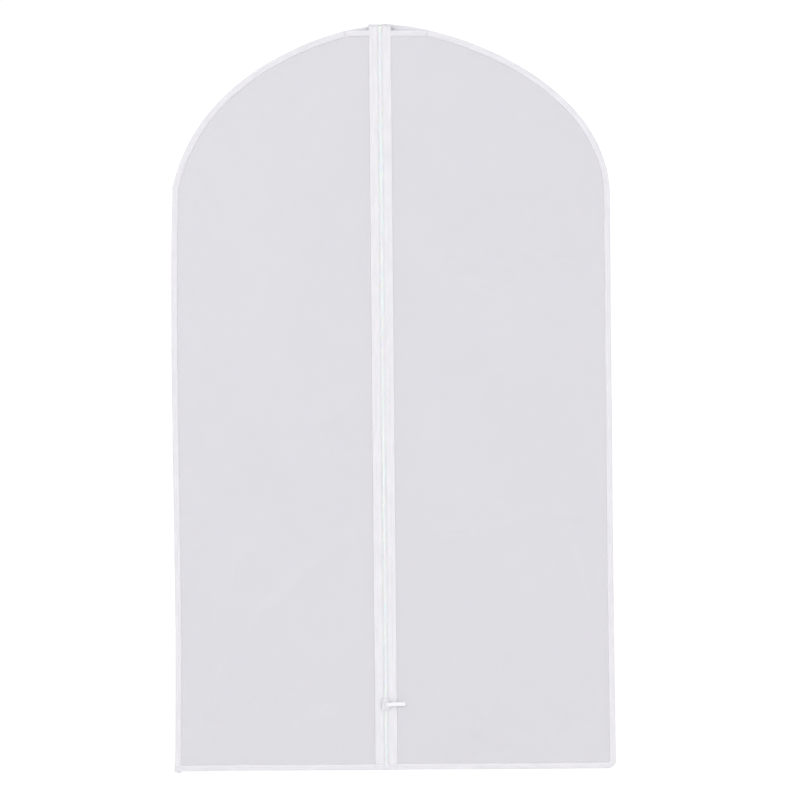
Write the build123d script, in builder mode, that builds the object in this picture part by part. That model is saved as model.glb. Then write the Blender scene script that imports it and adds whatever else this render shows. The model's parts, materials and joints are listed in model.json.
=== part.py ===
"""Hanging garment bag of frosted film: arched top, full-length zip in the front, woven edge binding.

Millimetres, +Z up, front towards -Y. The origin is the middle of the hanger opening, at the bag's
highest point. The front of the bag is one flat layer and the back is a shallow pouch behind it.
"""

from build123d import *
import os

# ---- Outline of the bag, seen from the front -------------------------------------------------
# Control points (x, z), anticlockwise from the peak. A cubic curve joins each pair of corners,
# except along the bottom hem, which is straight. The bag was cut a little out of true, as film
# bags are: the right half is wider than the left, and the left shoulder has a slight corner.
PEAK = (0, 0)
LEFT_SHOULDER = (-284, -221)
LEFT_HEM = (-281, -1001)
RIGHT_HEM = (309, -997)
RIGHT_SHOULDER = (300.5, -237)
OUTLINE = [
    PEAK,
    (-143, -21),
    (-260, -103),
    LEFT_SHOULDER,
    (-291, -430),
    (-276, -780),
    LEFT_HEM,
    RIGHT_HEM,
    (304, -700),
    (303, -480),
    RIGHT_SHOULDER,
    (304, -101),
    (137, -14),
]

# ---- Layers ----------------------------------------------------------------------------------
FILM = 0.8  # film panels
BINDING_LEG = 0.7  # each leg of the folded binding tape
BINDING_WALL = 0.8  # the binding's outer fold
BINDING_WIDTH = 8.0
FILM_EDGE = 1.2  # the film's cut edge lies this far inside the outline
GAP = 0.6  # between the parts of the front that fold and those that don't
THREAD = 0.5  # how far a row of stitches stands proud
STITCH_WIDTH = 1.2
STITCH_INSET = 5.0  # from the outline to the binding's stitch row
HEM_ROUNDING = 11.0  # the right corner is rounded and the left one is square

# ---- Back pouch ------------------------------------------------------------------------------
POUCH_DEPTH = 20.0
FLANGE = 13.0  # flat margin all round, partly inside the binding
SLOPE = 60.0  # width of the sloping wall, seen from the front
SHOULDER_CUT = -240.0  # the film's solids meet here, below the curve of the shoulders

# ---- Hanger opening --------------------------------------------------------------------------
MOUTH_WIDTH = 106.0
MOUTH_GAP = 8.0  # between the front and the back layer
MOUTH_HEIGHT = 44.0  # down to where the opening runs into the pouch
MOUTH_FLOOR = 1.0  # film left below the opening, all of it within the pouch's wall
MOUTH_MARGIN = 0.4  # between the mouth's side walls and the bindings beside them
NECK_TOP = -10.0  # the front layer is cut straight across here
EDGE_BREAK = MOUTH_WIDTH + 2 * (FILM + MOUTH_MARGIN)  # where the edge binding stops
NECK_WIDTH = MOUTH_WIDTH - 2 * MOUTH_MARGIN
NECK_THICKNESS = FILM + 2 * BINDING_LEG

# ---- Depths along Y --------------------------------------------------------------------------
SEAM = -MOUTH_GAP / 2  # where the front and back film meet
FRONT_FACE = SEAM - FILM
TAPE_FACE = FRONT_FACE - BINDING_LEG
BACK_FILM_FACE = SEAM + FILM
BINDING_BACK = BACK_FILM_FACE + BINDING_LEG
MOUTH_BACK = SEAM + MOUTH_GAP

# ---- Zip -------------------------------------------------------------------------------------
ZIP_TOP_X = -7.2  # the zip leans, from here at the top to 2 mm right of the middle at the hem
ZIP_LEAN = 0.0092
TAPE_INNER = 0.7  # from the zip's centre line
TAPE_OUTER = 15.0
FILM_TO_ZIP = 5.0
COIL_OUTER = 3.0
COIL_HEIGHT = 2.2
COIL_ROUNDING = 0.9
ZIP_STITCHES = (10.8, 12.0)  # the two edges of the row that holds tape and film together
ZIP_TOP = -2.5  # the tape ends stand up past the front layer's neck, nearly to the peak
ZIP_BOTTOM = -990.5
ZIP_MARGIN = 0.3  # between the tapes and the neck binding on each side of them

# ---- The two halves of the front, which fold open --------------------------------------------
FLAP_TOP = -110.0
FLAP_BOTTOM = -865.0
HINGE_X = 186.0
HINGE_TOP = -275.0
HINGE_BOTTOM = -700.0
FIELD_MARGIN = 0.1  # share of the height by which a cutting field passes the bag

# ---- Slider and pull tab ---------------------------------------------------------------------
SLIDER_HEIGHT = -911.0  # parked near the bottom, with the zip closed above it
SLIDER_CLEARANCE = 0.3
SLIDER_PLATE = 1.0
SLIDER_HALF_OUTLINE = [(4.0, 6.5), (5.0, -1.5), (4.6, -6.5)]
SLIDER_ROUNDING = 1.2
SLIDER_BACK_INSET = 0.5
SLIDER_FACE = TAPE_FACE - COIL_HEIGHT - SLIDER_CLEARANCE - SLIDER_PLATE
POST_WIDTH = 0.7
POST_LENGTH = 3.0
POST_HEIGHT = -3.8
BRIDGE_AXIS = SLIDER_FACE - 2.0
BRIDGE_RADIUS = 0.6
BRIDGE_HALF_SPAN = 3.6
BRIDGE_FOOT = 1.2
CHANNEL_LENGTH = 15.0  # longer than the slider, so that its channel is open at both ends
KNUCKLE_RADIUS = 1.4
KNUCKLE_BORE = 0.68
TAB_LENGTH = 27.0
TAB_WIDTH = 5.2
TAB_THICKNESS = 1.1
TAB_TILT = 11.0  # degrees, so that the tip rests close to the film
TAB_TIP_RADIUS = 2.2
TAB_HOLE_RADIUS = 1.1
TAB_HOLE_FROM_TIP = 4.0

SIDES = {"left": -1, "right": 1}


def facing(depth):
    """The sketch plane at y = depth, seen from the front: local x is X and local y is Z."""
    return Plane.XZ.offset(-depth)


def zip_x(height):
    """The x of the zip's centre line at z = height."""
    return ZIP_TOP_X - ZIP_LEAN * height


def zip_facing(depth, height=0):
    """As facing(), with local y along the leaning zip and the origin on its centre line."""
    return Plane(
        origin=(zip_x(height), depth, height),
        x_dir=(1, 0, ZIP_LEAN),
        z_dir=(0, -1, 0),
    )


def across_zip(depth, height):
    """The plane square to the zip: local x is across it and local y is +Y."""
    return Plane(
        origin=(zip_x(height), depth, height),
        x_dir=(1, 0, ZIP_LEAN),
        z_dir=(-ZIP_LEAN, 0, 1),
    )


def moved_in(inset):
    """The outline's control points, each moved in so that both legs beside it lie inset further in."""
    points = [Vector(*point) for point in OUTLINE]
    moved = []
    for index, point in enumerate(points):
        arriving = (point - points[index - 1]).normalized()
        leaving = (points[(index + 1) % len(points)] - point).normalized()
        inward = Vector(-arriving.Y - leaving.Y, arriving.X + leaving.X)
        moved.append(point + inward * (inset / (1 + arriving.dot(leaving))))
    return moved


def bag_face(inset):
    """The bag seen from the front, its edge moved in by inset, in a sketch's own x and y."""
    p = moved_in(inset)
    with BuildSketch() as view:
        with BuildLine():
            Bezier(p[0], p[1], p[2], p[3])
            Bezier(p[3], p[4], p[5], p[6])
            Line(p[6], p[7])
            Bezier(p[7], p[8], p[9], p[10])
            Bezier(p[10], p[11], p[12], p[0])
        make_face()
        if inset < HEM_ROUNDING:
            right_corner = view.vertices().sort_by_distance(p[7])[0]
            fillet(right_corner, HEM_ROUNDING - inset)
    return view.sketch


def pouch(front):
    """The tapered form of the filled bag behind y = front."""
    with BuildPart() as form:
        with BuildSketch(facing(front)):
            add(bag_face(FLANGE))
        with BuildSketch(facing(front + POUCH_DEPTH)):
            add(bag_face(FLANGE + SLOPE))
        loft(ruled=True)
    return form.part


def half_corners(side):
    """A field wider and taller than one half of the bag, cut along the film's edge at the zip."""
    above = -FIELD_MARGIN * LEFT_HEM[1]
    below = (1 + FIELD_MARGIN) * LEFT_HEM[1]
    return [
        (zip_x(above) + side * FILM_TO_ZIP, above),
        (side * RIGHT_HEM[0] * 2, above),
        (side * RIGHT_HEM[0] * 2, below),
        (zip_x(below) + side * FILM_TO_ZIP, below),
    ]


def flap_corners(side):
    """The corners of one folding half of the front film: two at the zip and two on the fold."""
    return [
        (zip_x(FLAP_TOP) + side * FILM_TO_ZIP, FLAP_TOP),
        (side * HINGE_X, HINGE_TOP),
        (side * HINGE_X, HINGE_BOTTOM),
        (zip_x(FLAP_BOTTOM) + side * FILM_TO_ZIP, FLAP_BOTTOM),
    ]


def zip_strips(side, inner, outer, spans, depth, thickness):
    """Straight strips along one side of the zip, one for each (bottom, top) span."""
    with BuildPart() as strips:
        with BuildSketch(zip_facing(depth)):
            for bottom, top in spans:
                with Locations((side * (inner + outer) / 2, (bottom + top) / 2)):
                    Rectangle(outer - inner, top - bottom)
        extrude(amount=thickness)
    return strips.part


def beside_tapes():
    """The stretch of the neck that the two zip tapes run up through, in a sketch's own x and y."""
    with BuildSketch() as stretch:
        with Locations((zip_x(NECK_TOP), NECK_TOP)):
            Rectangle(2 * (TAPE_OUTER + ZIP_MARGIN), 4 * BINDING_WIDTH)
    return stretch.sketch


def save(piece, name):
    """Label a finished piece and write it as the node of that name."""
    piece.part.label = name
    export_step(piece.part, f"parts/{name}.step")


os.makedirs("parts", exist_ok=True)


# ---- Back panel: one sheet of film, its margin flat and its middle drawn back into a pouch ----
# It is written as six solids that meet face to face, three above SHOULDER_CUT and three below it,
# because smaller solids hold their true hollow shape better when they are split for collision.
with BuildPart() as back_panel:
    with BuildSketch(facing(SEAM)):
        add(bag_face(FILM_EDGE))
    extrude(amount=-FILM)
    add(pouch(BACK_FILM_FACE))
    with BuildSketch(facing(SEAM)):
        add(bag_face(FILM_EDGE))
        Rectangle(MOUTH_WIDTH + 2 * FILM, 2 * (MOUTH_HEIGHT + MOUTH_FLOOR), mode=Mode.INTERSECT)
    extrude(amount=-MOUTH_GAP - FILM)
    add(pouch(SEAM), mode=Mode.SUBTRACT)
    with BuildSketch(facing(SEAM)):
        Rectangle(MOUTH_WIDTH, 2 * MOUTH_HEIGHT)
    extrude(amount=-MOUTH_GAP, mode=Mode.SUBTRACT)
    split(bisect_by=Plane.XY.offset(SHOULDER_CUT), keep=Keep.BOTH)
    for side in SIDES.values():
        split(bisect_by=Plane.YZ.offset(side * (MOUTH_WIDTH / 2 + FILM)), keep=Keep.BOTH)
save(back_panel, "back_panel")


# ---- Front film: on each side of the zip a surround that stays and a flap that folds open -----
for side_name, side in SIDES.items():
    with BuildPart() as front_panel:
        with BuildSketch(facing(SEAM)):
            add(bag_face(FILM_EDGE))
            Polygon(*half_corners(side), align=None, mode=Mode.INTERSECT)
            Rectangle(EDGE_BREAK, 2 * (FILM_EDGE - NECK_TOP), mode=Mode.SUBTRACT)
            flap = Polygon(*flap_corners(side), align=None, mode=Mode.PRIVATE)
            offset(flap, GAP, kind=Kind.INTERSECTION, mode=Mode.SUBTRACT)
        extrude(amount=FILM)
    save(front_panel, f"front_panel_{side_name}")

    with BuildPart() as front_flap:
        with BuildSketch(facing(SEAM)):
            Polygon(*flap_corners(side), align=None)
        extrude(amount=FILM)
    save(front_flap, f"front_flap_{side_name}")


# ---- Edge binding: a folded tape round the whole edge, open at the hanger opening ------------
with BuildPart() as edge_binding:
    with BuildSketch(facing(BINDING_BACK)):
        add(bag_face(0))
        add(bag_face(BINDING_WIDTH), mode=Mode.SUBTRACT)
    extrude(amount=BINDING_BACK - TAPE_FACE)
    with BuildSketch(facing(BACK_FILM_FACE)):
        add(bag_face(BINDING_WALL))
    extrude(amount=2 * FILM, mode=Mode.SUBTRACT)
    with BuildSketch(facing(BINDING_BACK)):
        Rectangle(EDGE_BREAK, 2 * MOUTH_HEIGHT)
    extrude(amount=BINDING_BACK - TAPE_FACE, mode=Mode.SUBTRACT)
save(edge_binding, "edge_binding")


# ---- Neck bindings: the same tape over each layer's own edge at the hanger opening ------------
# The front one is in two lengths, one on each side of the zip tapes, which run up between them.
with BuildPart() as neck_binding_front:
    with BuildSketch(facing(SEAM + BINDING_LEG)):
        with Locations((0, NECK_TOP - BINDING_WIDTH / 2)):
            Rectangle(NECK_WIDTH, BINDING_WIDTH)
    extrude(amount=NECK_THICKNESS)
    with BuildSketch(facing(SEAM)):
        with Locations((0, NECK_TOP - BINDING_WALL - BINDING_WIDTH / 2)):
            Rectangle(NECK_WIDTH, BINDING_WIDTH)
    extrude(amount=FILM, mode=Mode.SUBTRACT)
    with BuildSketch(facing(SEAM + BINDING_LEG)):
        add(beside_tapes())
    extrude(amount=NECK_THICKNESS, mode=Mode.SUBTRACT)
save(neck_binding_front, "neck_binding_front")

with BuildPart() as neck_binding_back:
    with BuildSketch(facing(MOUTH_BACK + FILM + BINDING_LEG)):
        add(bag_face(0))
        add(bag_face(BINDING_WIDTH), mode=Mode.SUBTRACT)
        Rectangle(NECK_WIDTH, 2 * MOUTH_HEIGHT, mode=Mode.INTERSECT)
    extrude(amount=NECK_THICKNESS)
    with BuildSketch(facing(MOUTH_BACK + FILM)):
        add(bag_face(BINDING_WALL))
    extrude(amount=FILM, mode=Mode.SUBTRACT)
save(neck_binding_back, "neck_binding_back")


# ---- Binding stitches: one row of thread, seen on the front and on the back --------------------
with BuildPart() as edge_stitching:
    with BuildSketch(facing(TAPE_FACE), facing(BINDING_BACK + THREAD)):
        add(bag_face(STITCH_INSET))
        add(bag_face(STITCH_INSET + STITCH_WIDTH), mode=Mode.SUBTRACT)
        Rectangle(EDGE_BREAK, 2 * MOUTH_HEIGHT, mode=Mode.SUBTRACT)
    extrude(amount=THREAD)
save(edge_stitching, "edge_stitching")

with BuildPart() as neck_stitching:
    with BuildSketch(facing(TAPE_FACE)):
        with Locations((0, NECK_TOP - STITCH_INSET - STITCH_WIDTH / 2)):
            Rectangle(NECK_WIDTH, STITCH_WIDTH)
        add(beside_tapes(), mode=Mode.SUBTRACT)
    extrude(amount=THREAD)
    with BuildSketch(facing(MOUTH_BACK + FILM + BINDING_LEG + THREAD)):
        add(bag_face(STITCH_INSET))
        add(bag_face(STITCH_INSET + STITCH_WIDTH), mode=Mode.SUBTRACT)
        Rectangle(NECK_WIDTH, 2 * MOUTH_HEIGHT, mode=Mode.INTERSECT)
    extrude(amount=THREAD)
save(neck_stitching, "neck_stitching")


# ---- Zip: two tapes with a coil along each inner edge, the middle of each going with its flap --
middle_span = [(FLAP_BOTTOM, FLAP_TOP)]
end_spans = [(ZIP_BOTTOM, FLAP_BOTTOM - GAP), (FLAP_TOP + GAP, ZIP_TOP)]

for side_name, side in SIDES.items():
    for ending, spans in (("", middle_span), ("_ends", end_spans)):
        with BuildPart() as zip_tape:
            add(zip_strips(side, TAPE_INNER, TAPE_OUTER, spans, FRONT_FACE, BINDING_LEG))
        save(zip_tape, f"zip_tape_{side_name}{ending}")

        with BuildPart() as zip_coil:
            add(zip_strips(side, TAPE_INNER, COIL_OUTER, spans, TAPE_FACE, COIL_HEIGHT))
            front_edges = zip_coil.faces().filter_by(Axis.Y).group_by(Axis.Y)[0].edges()
            fillet(front_edges.filter_by(lambda edge: edge.length > TAPE_OUTER), COIL_ROUNDING)
        save(zip_coil, f"zip_coil_{side_name}{ending}")

    with BuildPart() as zip_stitching:
        add(zip_strips(side, *ZIP_STITCHES, middle_span, TAPE_FACE, THREAD))
    save(zip_stitching, f"zip_stitching_{side_name}")

with BuildPart() as zip_stitching_ends:
    for side in SIDES.values():
        add(zip_strips(side, *ZIP_STITCHES, end_spans, TAPE_FACE, THREAD))
save(zip_stitching_ends, "zip_stitching_ends")


# ---- Slider: front and back plates joined by a post, with side flanges and a bridge -----------
slider_outline = SLIDER_HALF_OUTLINE + [(-x, y) for x, y in reversed(SLIDER_HALF_OUTLINE)]

with BuildPart() as zip_slider:
    with BuildSketch(zip_facing(SLIDER_FACE + SLIDER_PLATE, SLIDER_HEIGHT)) as front_plate:
        Polygon(*slider_outline, align=None)
        fillet(front_plate.vertices(), SLIDER_ROUNDING)
    extrude(amount=SLIDER_PLATE)
    with BuildSketch(zip_facing(TAPE_FACE - SLIDER_CLEARANCE, SLIDER_HEIGHT)) as flanges:
        Polygon(*slider_outline, align=None)
        fillet(flanges.vertices(), SLIDER_ROUNDING)
        Rectangle(2 * (COIL_OUTER + SLIDER_CLEARANCE), CHANNEL_LENGTH, mode=Mode.SUBTRACT)
    extrude(amount=COIL_HEIGHT)
    with BuildSketch(
        zip_facing(FRONT_FACE + SLIDER_CLEARANCE + SLIDER_PLATE, SLIDER_HEIGHT)
    ) as back_plate:
        Polygon(*slider_outline, align=None)
        fillet(back_plate.vertices(), SLIDER_ROUNDING)
        offset(amount=-SLIDER_BACK_INSET, mode=Mode.REPLACE)
    extrude(amount=SLIDER_PLATE)
    with BuildSketch(zip_facing(FRONT_FACE + SLIDER_CLEARANCE, SLIDER_HEIGHT)):
        with Locations((0, POST_HEIGHT)):
            Rectangle(POST_WIDTH, POST_LENGTH)
    extrude(amount=FRONT_FACE + SLIDER_CLEARANCE - SLIDER_FACE - SLIDER_PLATE)
    with BuildSketch(zip_facing(SLIDER_FACE, SLIDER_HEIGHT)):
        with Locations((0, -BRIDGE_HALF_SPAN), (0, BRIDGE_HALF_SPAN)):
            Rectangle(2 * BRIDGE_RADIUS, BRIDGE_FOOT)
    extrude(amount=SLIDER_FACE - BRIDGE_AXIS)
    with BuildSketch(across_zip(BRIDGE_AXIS, SLIDER_HEIGHT)):
        Circle(BRIDGE_RADIUS)
    extrude(amount=BRIDGE_HALF_SPAN + BRIDGE_FOOT / 2, both=True)
save(zip_slider, "zip_slider")


# ---- Pull tab: a flat tongue with a rolled knuckle round the slider's bridge ------------------
with BuildPart() as pull_tab:
    with BuildSketch(across_zip(BRIDGE_AXIS, SLIDER_HEIGHT)):
        Circle(KNUCKLE_RADIUS)
        with Locations(Location((0, 0), TAB_TILT)):
            Rectangle(TAB_LENGTH, TAB_THICKNESS, align=(Align.MIN, Align.CENTER))
        Circle(KNUCKLE_BORE, mode=Mode.SUBTRACT)
    extrude(amount=TAB_WIDTH / 2, both=True)
    tip = pull_tab.faces().sort_by(Axis.X)[-1]
    fillet(tip.edges().sort_by(SortBy.LENGTH)[:2], TAB_TIP_RADIUS)
    tongue = across_zip(BRIDGE_AXIS, SLIDER_HEIGHT).rotated((0, 0, TAB_TILT))
    with BuildSketch(tongue.rotated((90, 0, 0))):
        with Locations((TAB_LENGTH - TAB_HOLE_FROM_TIP, 0)):
            Circle(TAB_HOLE_RADIUS)
    extrude(amount=TAB_THICKNESS, both=True, mode=Mode.SUBTRACT)
save(pull_tab, "pull_tab")
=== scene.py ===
"""The look of a hanging garment bag of frosted film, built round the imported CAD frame.

Metres, in the CAD's own frame: +Z up, the zipped front towards -Y. The film, the tapes and the
threads are new meshes in the places of their CAD solids. The slider and its tab are CAD nodes.
"""

import json
import math

import bpy
import numpy as np
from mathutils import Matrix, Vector, noise


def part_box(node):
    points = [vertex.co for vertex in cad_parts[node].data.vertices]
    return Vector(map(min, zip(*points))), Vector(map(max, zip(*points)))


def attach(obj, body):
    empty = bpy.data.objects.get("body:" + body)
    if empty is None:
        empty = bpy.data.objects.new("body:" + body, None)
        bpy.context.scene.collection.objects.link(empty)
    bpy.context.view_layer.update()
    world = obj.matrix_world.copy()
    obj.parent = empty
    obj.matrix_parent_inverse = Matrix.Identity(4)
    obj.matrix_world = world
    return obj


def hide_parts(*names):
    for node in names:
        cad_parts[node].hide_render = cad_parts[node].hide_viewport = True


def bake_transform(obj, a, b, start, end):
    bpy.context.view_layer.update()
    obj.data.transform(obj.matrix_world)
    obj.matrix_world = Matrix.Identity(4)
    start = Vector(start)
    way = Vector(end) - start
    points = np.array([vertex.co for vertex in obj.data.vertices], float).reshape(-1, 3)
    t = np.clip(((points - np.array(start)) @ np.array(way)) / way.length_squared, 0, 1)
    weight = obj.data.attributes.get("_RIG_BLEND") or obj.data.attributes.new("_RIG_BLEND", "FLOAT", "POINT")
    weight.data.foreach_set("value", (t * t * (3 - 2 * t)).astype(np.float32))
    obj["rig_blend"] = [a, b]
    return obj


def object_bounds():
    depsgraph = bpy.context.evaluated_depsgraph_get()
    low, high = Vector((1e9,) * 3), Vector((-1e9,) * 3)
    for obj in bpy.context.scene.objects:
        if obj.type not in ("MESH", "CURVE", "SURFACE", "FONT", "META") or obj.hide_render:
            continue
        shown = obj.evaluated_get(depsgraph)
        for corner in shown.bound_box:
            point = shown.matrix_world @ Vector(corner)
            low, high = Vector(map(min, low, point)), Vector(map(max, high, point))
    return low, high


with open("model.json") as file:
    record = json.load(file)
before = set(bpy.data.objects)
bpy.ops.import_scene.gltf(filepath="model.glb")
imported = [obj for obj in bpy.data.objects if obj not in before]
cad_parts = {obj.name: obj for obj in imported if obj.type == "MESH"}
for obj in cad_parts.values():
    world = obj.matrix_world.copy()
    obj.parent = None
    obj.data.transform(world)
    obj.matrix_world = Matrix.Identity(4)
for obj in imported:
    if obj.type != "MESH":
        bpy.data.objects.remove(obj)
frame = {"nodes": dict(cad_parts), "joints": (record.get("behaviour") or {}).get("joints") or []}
cad_low, cad_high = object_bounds()

MM = 0.001
SIDES = {"left": -1, "right": 1}

# ---- The bag's outline, seen from the front -----------------------------------------------------
# Control points (x, z) in millimetres, anticlockwise from the peak: two cubic curves down the left
# side, the straight hem, and two cubic curves up the right side.
PEAK = (0, 0)
LEFT_SHOULDER = (-284, -221)
LEFT_HEM = (-281, -1001)
RIGHT_HEM = (309, -997)
RIGHT_SHOULDER = (300.5, -237)
LEFT_SIDE = [PEAK, (-143, -21), (-260, -103), LEFT_SHOULDER, (-291, -430), (-276, -780), LEFT_HEM]
RIGHT_SIDE = [RIGHT_HEM, (304, -700), (303, -480), RIGHT_SHOULDER, (304, -101), (137, -14), PEAK]
HEM_ROUNDING = 11 * MM
HEM_LEVEL = -1.0  # the hem's height, near enough to look up where the zip meets it
TOP_ZONE = -100 * MM  # the outline above this height takes in the whole hanger opening
CURVE_SAMPLES = 400
RIM_STEP = 4 * MM

# ---- Layers -------------------------------------------------------------------------------------
FILM = 0.25 * MM
FRONT_DEPTH = -4.4 * MM  # the y of the front film's middle
BACK_DEPTH = -3.6 * MM  # and of the back film's, where the two are sewn together
SEAM_DEPTH = (FRONT_DEPTH + BACK_DEPTH) / 2
FILM_INSET = 4 * MM  # the film's cut edge, inside the binding
FILM_CELL = 4 * MM
FILM_BELOW_NECK = 1.2 * MM  # the front film's top edge, below its binding's fold

# ---- Zip, from its CAD nodes --------------------------------------------------------------------
slide = next(j for j in frame["joints"] if j["name"] == "slider_travel")
slider_low, slider_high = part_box("zip_slider")
ZIP_LEAN = -slide["axis"][0] / slide["axis"][2]
ZIP_TOP_X = (slider_low.x + slider_high.x) / 2 + ZIP_LEAN * (slider_low.z + slider_high.z) / 2
TAPE_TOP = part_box("zip_tape_left_ends")[1].z
TAPE_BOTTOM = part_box("zip_tape_left_ends")[0].z - 5 * MM  # tucked into the hem binding
TAPE_BACK = FRONT_DEPTH - 0.25 * MM
TAPE_OUTER = 15 * MM
FILM_TO_ZIP = 5 * MM
TAPE_LOOPS = 200  # sections along each tape
ZIP_STITCH = 11 * MM  # the row of stitches, from the zip's middle
ZIP_STITCH_PITCH = 3 * MM
COIL_PITCH = 1.5 * MM
COIL_BELOW_TOP = 2.5 * MM
COIL_ABOVE_BOTTOM = 3.5 * MM
# One tape's section from its inner edge to its outer one: (distance from the zip's middle, height).
TAPE_SECTION = np.array(
    [(0.5, 0.35), (2.8, 0.50), (3.8, 0.42), (4.8, 0.46), (6.4, 0.62), (8.2, 0.66), (9.6, 0.55)]
    + [(10.5, 0.46), (11.3, 0.62), (12.0, 0.92), (12.9, 0.98), (13.9, 0.85), (14.7, 0.55), (15.0, 0.15)]
)
# One turn of the coil: (distance from the zip's middle, height over the tape, share of the pitch).
COIL_TURN = np.array(
    [
        (2.65, 0.40, 0.00),
        (2.85, 0.95, 0.06),
        (2.35, 1.45, 0.13),
        (1.00, 1.60, 0.24),
        (-0.45, 1.45, 0.32),
        (-0.92, 0.98, 0.37),
        (-0.45, 0.52, 0.42),
        (1.00, 0.40, 0.55),
        (2.10, 0.35, 0.80),
    ]
)
COIL_THREAD = 0.37 * MM  # radius
# How the zip's sewn-in end lifts the hem's binding: the tape's height times a share, and the coil.
LIFT_BY_TAPE = 1.3
LIFT_BY_COIL = 1.1 * MM
LIFT_ZONE = -0.9  # only below this height

# ---- Bindings and the hanger opening ------------------------------------------------------------
neck_low, neck_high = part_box("neck_binding_front")
NECK_TOP = neck_high.z
BINDING_WIDTH = neck_high.z - neck_low.z
MOUTH_HALF = neck_high.x + 1.5 * MM  # where the layers part, on each side of the peak
MOUTH_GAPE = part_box("neck_binding_back")[1].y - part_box("edge_binding")[1].y
TAIL = 0.6 * MM  # how far the left length's cut end sticks out below the hem, at its outer edge
TAIL_SLANT = 1.6 * MM  # and how much further at its inner edge
TAIL_RUN = 6 * MM  # the stretch over which the slant comes in
OVERLAP = 14 * MM  # where the hem's length starts, it goes over the left one and stands proud
OVERLAP_SWELL = 0.25  # by this share of its thickness
BINDING_STEP = 2.5 * MM  # between the loops of a binding
NECK_STEP = 1.5 * MM
TUCK = 4 * MM  # how far the neck bindings' ends run in between the edge binding's legs
NECK_ENDS = 6 * MM  # the stretch over which they thin out before they go in
NECK_THICKNESS = (0.3, 0.45)  # a neck binding's thickness when tucked in, and what it gains outside
STITCH_INSET = 5.6 * MM
STITCH_HEIGHT = 1.4 * MM  # half the binding's thickness at its stitches
STITCH_PITCH = 3.2 * MM
THREAD = 0.28 * MM  # radius
# One stitch: (share of the spacing from its middle, height in thread radii). It dips in at both ends.
STITCH_PROFILE = np.array([(-0.46, -1.2), (-0.36, 0.3), (0, 0.7), (0.36, 0.3), (0.46, -1.2)])
THREAD_SIDES = 5

# ---- The filled form of the back ----------------------------------------------------------------
POUCH_DEPTH = 12 * MM  # before it settles
POUCH_LIMIT = 25 * MM  # the deepest that it may settle to
POUCH_START = 9 * MM  # from the edge
POUCH_SLOPE = 95 * MM  # from there to the full depth
FOLD_HEIGHTS = (2.6 * MM, 1.0 * MM)  # of the long hanging folds, and of the small dents
TUCK_HEIGHT = 0.9 * MM  # of the gathers beside the binding
TUCK_PITCH = 8.5 * MM
TUCK_PLACE = (38 * MM, 22 * MM)  # how far from the edge they are highest, and how far they spread
GAPE_DROP = (20 * MM, 110 * MM)  # how far down the neck's gape starts to close, and over what height

BACK_CELL = 8 * MM
SETTLING_FRAMES = 50
SETTLING = {
    "quality": 7,
    "mass": 0.02,
    "air_damping": 3.0,
    "tension_stiffness": 25.0,
    "compression_stiffness": 25.0,
    "shear_stiffness": 12.0,
    "bending_stiffness": 0.6,
    "bending_damping": 0.5,
    "pin_stiffness": 1.0,
    "shrink_min": -0.010,
}

# ---- Relief of the front film -------------------------------------------------------------------
EDGE_CALM = (9 * MM, 45 * MM)  # how near to the edge it stays flat, and how soon it is free of it
ZIP_CALM = (15 * MM, 55 * MM)  # the same beside the zip
BROAD_HEIGHT = 1.1 * MM  # slow waves
CRACKLE_HEIGHT = 0.55 * MM  # sharp handling marks, in the lower part
CRACKLE_DROP = (0.60, 0.3)  # how far down they start, and over what height they come in
PUCKER_HEIGHT = 0.16 * MM  # along the binding's stitches
PUCKER_PITCH = 2.7 * MM

# Creases pressed into the front, each as points (x, z) in millimetres.
CREASES = [
    [(-233, -937), (-207, -841), (-164, -785), (-77, -711), (-33, -676)],
    [(-207, -755), (-190, -711), (-155, -677)],
    [(-94, -537), (-25, -494)],
    [(28, -685), (132, -685), (193, -655), (288, -652)],
    [(97, -346), (210, -372)],
    [(60, -317), (290, -316)],
    [(114, -963), (150, -900), (175, -824)],
    [(227, -929), (297, -877)],
    [(236, -668), (262, -740), (271, -807)],
    [(-120, -940), (-60, -915)],
]
CREASE_HEIGHT = 1.8 * MM
CREASE_WIDTH = 4.5 * MM  # on its steep upper side
CREASE_EASING = 3.5  # how many times wider its lower side is
CREASE_WANDER = 4 * MM
CREASE_STEP = 3 * MM
CREASE_ENDS = 8  # steps over which it fades at each end

# ---- Where the front bends when it folds open ---------------------------------------------------
FOLD_OUTER = 205 * MM  # nothing further out than this moves
FOLD_INNER = 105 * MM  # everything further in moves with the flap
flap_low, flap_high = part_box("front_flap_left")
FOLD_RAMP = 240 * MM  # from the closed end of the gap to where it is widest


# =================================================================================================
# Curves and fields
# =================================================================================================
def smooth(t):
    """Smoothstep, from 0 at t = 0 to 1 at t = 1."""
    t = np.clip(t, 0, 1)
    return t * t * (3 - 2 * t)


def bezier(controls):
    """Points along a cubic curve given by four control points in millimetres."""
    a, b, c, d = (np.array(p, float) * MM for p in controls)
    t = np.linspace(0, 1, CURVE_SAMPLES)[:, None]
    return a * (1 - t) ** 3 + 3 * b * t * (1 - t) ** 2 + 3 * c * t**2 * (1 - t) + d * t**3


def joined(*runs):
    """Runs of points end to end, each starting where the last one ended."""
    return np.vstack([runs[0]] + [run[1:] for run in runs[1:]])


def lengths(points):
    """The length along a line of points up to each one."""
    steps = np.linalg.norm(np.diff(points, axis=0), axis=1)
    return np.concatenate([[0], np.cumsum(steps)])


def at_lengths(points, wanted):
    """The points at the wanted lengths along a line."""
    along = lengths(points)
    return np.stack([np.interp(wanted, along, points[:, k]) for k in range(points.shape[1])], 1)


def resampled(points, step):
    """The same line with evenly spaced points about a step apart."""
    total = lengths(points)[-1]
    return at_lengths(points, np.linspace(0, total, max(2, round(total / step) + 1)))


def in_shares(points, count):
    """The same line as a given number of evenly spaced points."""
    return at_lengths(points, np.linspace(0, lengths(points)[-1], count))


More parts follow.
